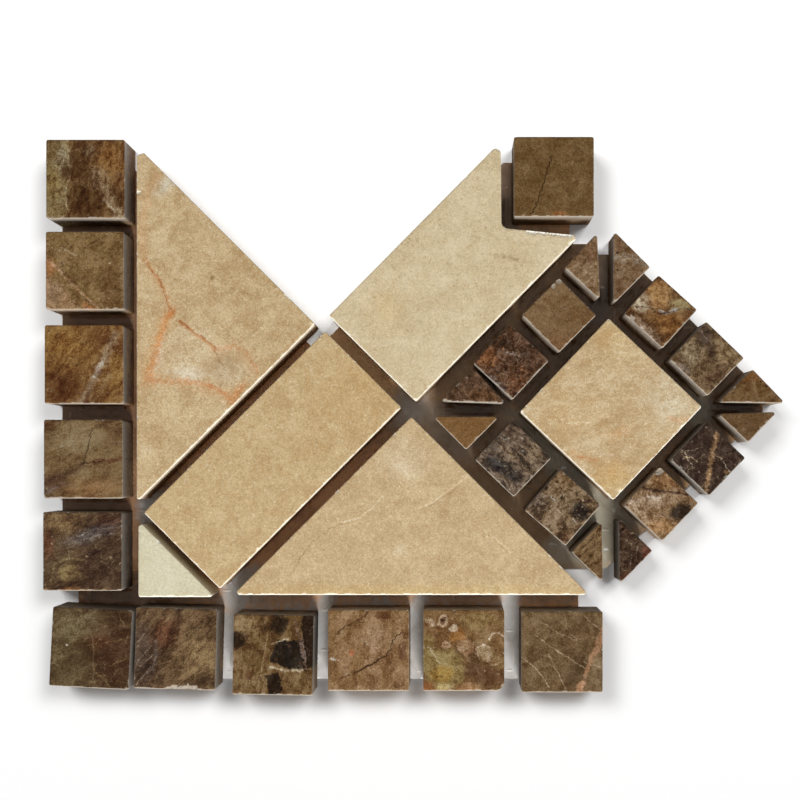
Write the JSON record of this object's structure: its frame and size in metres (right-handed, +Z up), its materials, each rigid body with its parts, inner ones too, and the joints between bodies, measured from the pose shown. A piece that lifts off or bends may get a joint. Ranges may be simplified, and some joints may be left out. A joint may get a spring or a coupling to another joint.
{
  "type": "marble mosaic border corner tile",
  "caption": "Corner tile of a marble mosaic border: sawn brown squares, cream field stones and a diamond medallion, glued with open joints on one backing net.",
  "frame": {"origin": "middle of the tile's box, on the underside of the net", "axes": "+Z up out of the polished face, +X along the bottom row of squares towards the medallion, +Y up the left column of squares"},
  "size_m": [0.1776, 0.1342, 0.01],
  "materials": {
    "brown_marble": "honed brown marble with sawn sides",
    "cream_marble": "honed cream marble with sawn sides",
    "glued_net": "open fibre net soaked in clear glue"
  },
  "bodies": {
    "root": {"backing_net": "glued_net", "bottom_square_1": "brown_marble", "bottom_square_2": "brown_marble", "bottom_square_3": "brown_marble", "bottom_square_4": "brown_marble", "bottom_square_5": "brown_marble", "bottom_triangle": "cream_marble", "centre_diamond": "cream_marble", "corner_square": "brown_marble", "corner_triangle": "cream_marble", "diagonal_bar": "cream_marble", "inner_square": "brown_marble", "left_square_1": "brown_marble", "left_square_2": "brown_marble", "left_square_3": "brown_marble", "left_square_4": "brown_marble", "left_square_5": "brown_marble", "left_triangle": "cream_marble", "notched_slab": "cream_marble", "ring_square_1": "brown_marble", "ring_square_2": "brown_marble", "ring_square_3": "brown_marble", "ring_square_4": "brown_marble", "ring_square_5": "brown_marble", "ring_square_6": "brown_marble", "ring_square_7": "brown_marble", "ring_square_8": "brown_marble", "ring_triangle_1": "brown_marble", "ring_triangle_2": "brown_marble", "ring_triangle_3": "brown_marble", "ring_triangle_4": "brown_marble", "ring_triangle_5": "brown_marble", "ring_triangle_6": "brown_marble", "ring_triangle_7": "brown_marble", "ring_triangle_8": "brown_marble"}
  },
  "joints": []
}
